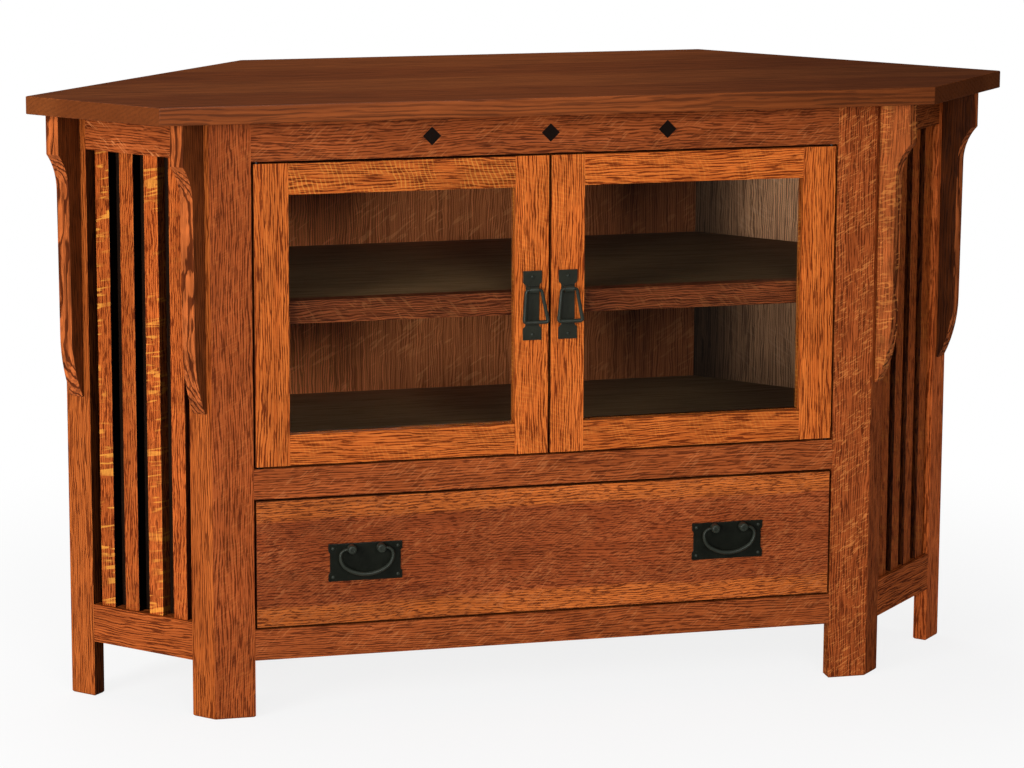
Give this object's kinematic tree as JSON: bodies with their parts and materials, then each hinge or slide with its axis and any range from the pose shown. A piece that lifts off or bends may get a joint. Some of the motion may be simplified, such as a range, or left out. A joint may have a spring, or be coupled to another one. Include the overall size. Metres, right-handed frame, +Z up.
{
  "type": "corner cabinet",
  "caption": "Free-standing corner cabinet with a flat hexagonal top, slatted angled sides with curved corbels, glazed doors on pivots, an inner shelf and a full-width drawer with bail pulls.",
  "frame": {"origin": "on the floor, under the middle of the top's bounding box in X and Y", "axes": "+X to the viewer's right along the front, +Y from the front back into the room's corner, +Z up"},
  "size_m": [1.2494, 0.4554, 0.762],
  "materials": {
    "oak_top": "dark brown stained quarter-sawn oak under clear lacquer",
    "oak_case": "brown stained quarter-sawn oak under satin lacquer",
    "oak_door": "orange-brown stained oak under satin lacquer",
    "oak_drawer": "red-brown stained quarter-sawn oak under satin lacquer",
    "plywood": "brown stained oak-faced plywood",
    "ebony_inlay": "near-black stained wood",
    "secondary_wood": "pale unstained hardwood, clear sealed",
    "black_iron": "blackened, softly shining",
    "clear_glass": "clear flat glass",
    "zinc_steel": "bright zinc plated steel",
    "magnet_case": "brown moulded plastic case"
  },
  "bodies": {
    "cabinet": {"top_panel": "oak_top", "front_stile_left": "oak_case", "front_stile_right": "oak_case", "side_front_stile_left": "oak_case", "side_front_stile_right": "oak_case", "side_rear_stile_left": "oak_case", "side_rear_stile_right": "oak_case", "front_top_rail": "oak_case", "front_middle_rail": "oak_case", "front_bottom_rail": "oak_case", "diamond_inlays": "ebony_inlay", "side_top_rails": "oak_case", "side_bottom_rails": "oak_case", "side_slats_left": "oak_case", "side_slats_right": "oak_case", "side_panels": "plywood", "front_corbels": "oak_case", "rear_corbels": "oak_case", "back_side_panels": "plywood", "back_centre_panel": "plywood", "back_legs": "oak_case", "compartment_floor": "plywood", "cabinet_bottom": "plywood", "shelf": "plywood", "shelf_nosing": "oak_case", "shelf_cleats": "secondary_wood", "top_cleats": "secondary_wood", "drawer_partitions": "plywood", "hinge_pins": "zinc_steel", "door_catches": "magnet_case", "case_runners": "zinc_steel"},
    "runner_carriages": {"middle_runners": "zinc_steel"},
    "drawer": {"drawer_runners": "zinc_steel", "drawer_front": "oak_drawer", "drawer_sides": "secondary_wood", "drawer_back": "secondary_wood", "drawer_bottom": "plywood", "drawer_pull_plates": "black_iron", "drawer_pull_posts": "black_iron", "drawer_pull_nails": "black_iron"},
    "drawer_bail_left": {"drawer_bail_left": "black_iron"},
    "drawer_bail_right": {"drawer_bail_right": "black_iron"},
    "door_left": {"door_hinge_stile_left": "oak_door", "door_meeting_stile_left": "oak_door", "door_rails_left": "oak_door", "door_glass_left": "clear_glass", "door_glass_stops_left": "oak_door", "door_strike_left": "zinc_steel", "door_pull_plate_left": "black_iron", "door_pull_screws_left": "black_iron"},
    "door_right": {"door_hinge_stile_right": "oak_door", "door_meeting_stile_right": "oak_door", "door_rails_right": "oak_door", "door_glass_right": "clear_glass", "door_glass_stops_right": "oak_door", "door_strike_right": "zinc_steel", "door_pull_plate_right": "black_iron", "door_pull_screws_right": "black_iron"},
    "door_drop_left": {"door_pull_drop_left": "black_iron"},
    "door_drop_right": {"door_pull_drop_right": "black_iron"}
  },
  "joints": [
    {"name": "drawer_slide", "type": "slide", "parent": "cabinet", "child": "drawer", "axis": [0, -1, 0], "range_m": [0, 0.3]},
    {"name": "runner_slide", "type": "slide", "parent": "cabinet", "child": "runner_carriages", "axis": [0, -1, 0], "range_m": [0, 0.15]},
    {"name": "door_left_hinge", "type": "hinge", "parent": "cabinet", "child": "door_left", "pos_m": [-0.36194, -0.19019, 0.50095], "axis": [0, 0, -1], "range_deg": [0, 110]},
    {"name": "door_right_hinge", "type": "hinge", "parent": "cabinet", "child": "door_right", "pos_m": [0.36194, -0.19019, 0.50095], "axis": [0, 0, 1], "range_deg": [0, 110]},
    {"name": "drawer_bail_left_swing", "type": "hinge", "parent": "drawer", "child": "drawer_bail_left", "pos_m": [-0.232, -0.20494, 0.2086], "axis": [-1, 0, 0], "range_deg": [0, 100]},
    {"name": "door_drop_left_swing", "type": "hinge", "parent": "door_left", "child": "door_drop_left", "pos_m": [-0.0225, -0.20319, 0.52195], "axis": [-1, 0, 0], "range_deg": [0, 100]},
    {"name": "drawer_bail_right_swing", "type": "hinge", "parent": "drawer", "child": "drawer_bail_right", "pos_m": [0.232, -0.20494, 0.2086], "axis": [-1, 0, 0], "range_deg": [0, 100]},
    {"name": "door_drop_right_swing", "type": "hinge", "parent": "door_right", "child": "door_drop_right", "pos_m": [0.0225, -0.20319, 0.52195], "axis": [-1, 0, 0], "range_deg": [0, 100]}
  ],
  "couplings": [
    {"joint": "runner_slide", "follows": "drawer_slide", "ratio": 0.5}
  ]
}
